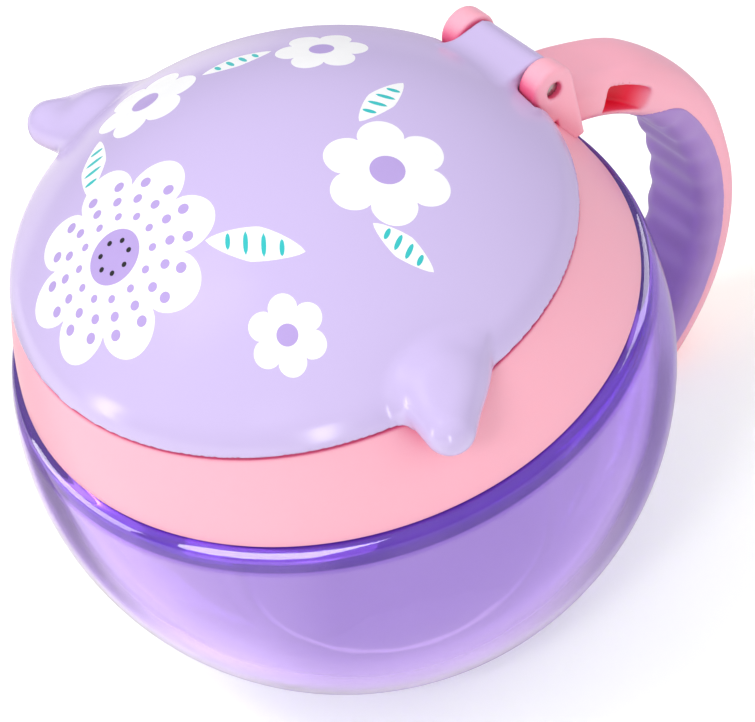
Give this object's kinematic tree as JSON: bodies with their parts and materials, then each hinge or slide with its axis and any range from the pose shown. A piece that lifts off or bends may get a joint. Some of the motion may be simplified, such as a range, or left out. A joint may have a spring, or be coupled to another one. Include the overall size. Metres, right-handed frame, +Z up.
{
  "type": "toddler snack container",
  "caption": "Ball-shaped clear snack cup with a screw-on collar, a soft-gripped bow handle, a hinged flip lid with side tabs and an insert of soft flaps that a child's hand reaches through.",
  "frame": {"origin": "centre of the cup's flat base, on the surface it stands on", "axes": "+Z up along the cup's axis, +Y towards the hinge and the handle, +X towards one side tab of the lid"},
  "size_m": [0.1014, 0.1235, 0.0931],
  "materials": {
    "clear_cup": "clear purple tinted plastic, polished",
    "soft_flaps": "soft satin elastomer",
    "pink_shell": "satin moulded pink plastic",
    "purple_grip": "matt soft elastomer with finger ridges",
    "steel_pin": "bright steel",
    "lavender_lid": "satin gloss moulded lavender plastic with a printed flower pattern"
  },
  "bodies": {
    "cup": {"cup": "clear_cup"},
    "insert": {"flap_ring": "soft_flaps"},
    "flap_1": {"flap_1": "soft_flaps"},
    "flap_2": {"flap_2": "soft_flaps"},
    "flap_3": {"flap_3": "soft_flaps"},
    "flap_4": {"flap_4": "soft_flaps"},
    "flap_5": {"flap_5": "soft_flaps"},
    "flap_6": {"flap_6": "soft_flaps"},
    "collar": {"collar": "pink_shell", "handle": "pink_shell", "handle_grip": "purple_grip", "hinge_pin": "steel_pin"},
    "lid": {"lid": "lavender_lid"}
  },
  "joints": [
    {"name": "collar_rise", "type": "slide", "parent": "cup", "child": "insert", "axis": [0, 0, 1], "range_m": [0, 0.0181]},
    {"name": "collar_twist", "type": "hinge", "parent": "insert", "child": "collar", "pos_m": [0, 0, 0.06], "axis": [0, 0, 1], "range_deg": [0, 360]},
    {"name": "lid_hinge", "type": "hinge", "parent": "collar", "child": "lid", "pos_m": [0, 0.04025, 0.07585], "axis": [-1, 0, 0], "range_deg": [0, 115]},
    {"name": "flap_1_bend", "type": "hinge", "parent": "insert", "child": "flap_1", "pos_m": [0.0285, 0, 0.0678], "axis": [0, -1, 0], "range_deg": [-20, 70], "stiffness_Nm_per_rad": 0.005},
    {"name": "flap_2_bend", "type": "hinge", "parent": "insert", "child": "flap_2", "pos_m": [0.01425, 0.02468, 0.0678], "axis": [0.866, -0.5, 0], "range_deg": [-20, 70], "stiffness_Nm_per_rad": 0.005},
    {"name": "flap_3_bend", "type": "hinge", "parent": "insert", "child": "flap_3", "pos_m": [-0.01425, 0.02468, 0.0678], "axis": [0.866, 0.5, 0], "range_deg": [-20, 70], "stiffness_Nm_per_rad": 0.005},
    {"name": "flap_4_bend", "type": "hinge", "parent": "insert", "child": "flap_4", "pos_m": [-0.0285, 0, 0.0678], "axis": [0, 1, 0], "range_deg": [-20, 70], "stiffness_Nm_per_rad": 0.005},
    {"name": "flap_5_bend", "type": "hinge", "parent": "insert", "child": "flap_5", "pos_m": [-0.01425, -0.02468, 0.0678], "axis": [-0.866, 0.5, 0], "range_deg": [-20, 70], "stiffness_Nm_per_rad": 0.005},
    {"name": "flap_6_bend", "type": "hinge", "parent": "insert", "child": "flap_6", "pos_m": [0.01425, -0.02468, 0.0678], "axis": [-0.866, -0.5, 0], "range_deg": [-20, 70], "stiffness_Nm_per_rad": 0.005}
  ],
  "couplings": [
    {"joint": "collar_rise", "follows": "collar_twist", "m_per_rad": 0.0028648}
  ]
}
